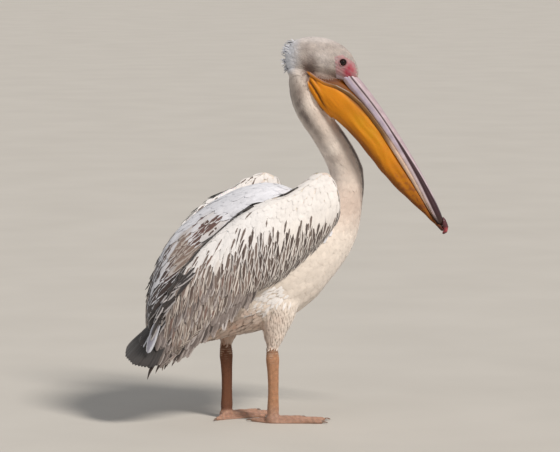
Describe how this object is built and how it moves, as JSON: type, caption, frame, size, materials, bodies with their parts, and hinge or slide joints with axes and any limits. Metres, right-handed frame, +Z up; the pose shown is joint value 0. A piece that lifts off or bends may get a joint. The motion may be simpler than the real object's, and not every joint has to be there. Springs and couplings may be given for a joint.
{
  "type": "great white pelican",
  "caption": "Standing great white pelican with brown-streaked folded wings, an orange pouch and its long bill held down: a still, life-size display model.",
  "frame": {"origin": "on the floor, under the middle of the bird's box", "axes": "+Z up; the body points along +X; the bird's left side is towards +Y"},
  "size_m": [0.706, 0.2904, 0.8631],
  "materials": {
    "plumage": "soft white feathers, warm cream to greyish",
    "wing_plumage": "white feathers with dark brown centres",
    "tail_quills": "stiff brown-black feathers",
    "bill_horn": "smooth grey-lilac horn with a maroon band",
    "nail_horn": "smooth dark red horn",
    "pouch_skin": "thin bare orange skin, lightly folded",
    "leg_skin": "scaly bare orange-brown skin",
    "claw_horn": "dull brown horn",
    "eye": "wet, near-black brown"
  },
  "bodies": {
    "root": {"head": "plumage", "neck_upper": "plumage", "neck_lower": "plumage", "trunk": "plumage", "thigh_right": "plumage", "thigh_left": "plumage", "wing_right": "wing_plumage", "wing_left": "wing_plumage", "tail": "tail_quills", "upper_bill": "bill_horn", "lower_bill": "bill_horn", "bill_nail": "nail_horn", "pouch": "pouch_skin", "shank_right": "leg_skin", "shank_left": "leg_skin", "foot_right": "leg_skin", "foot_left": "leg_skin", "eye_right": "eye", "eye_left": "eye", "claw_outer_right": "claw_horn", "claw_middle_right": "claw_horn", "claw_inner_right": "claw_horn", "claw_hind_right": "claw_horn", "claw_outer_left": "claw_horn", "claw_middle_left": "claw_horn", "claw_inner_left": "claw_horn", "claw_hind_left": "claw_horn"}
  },
  "joints": []
}
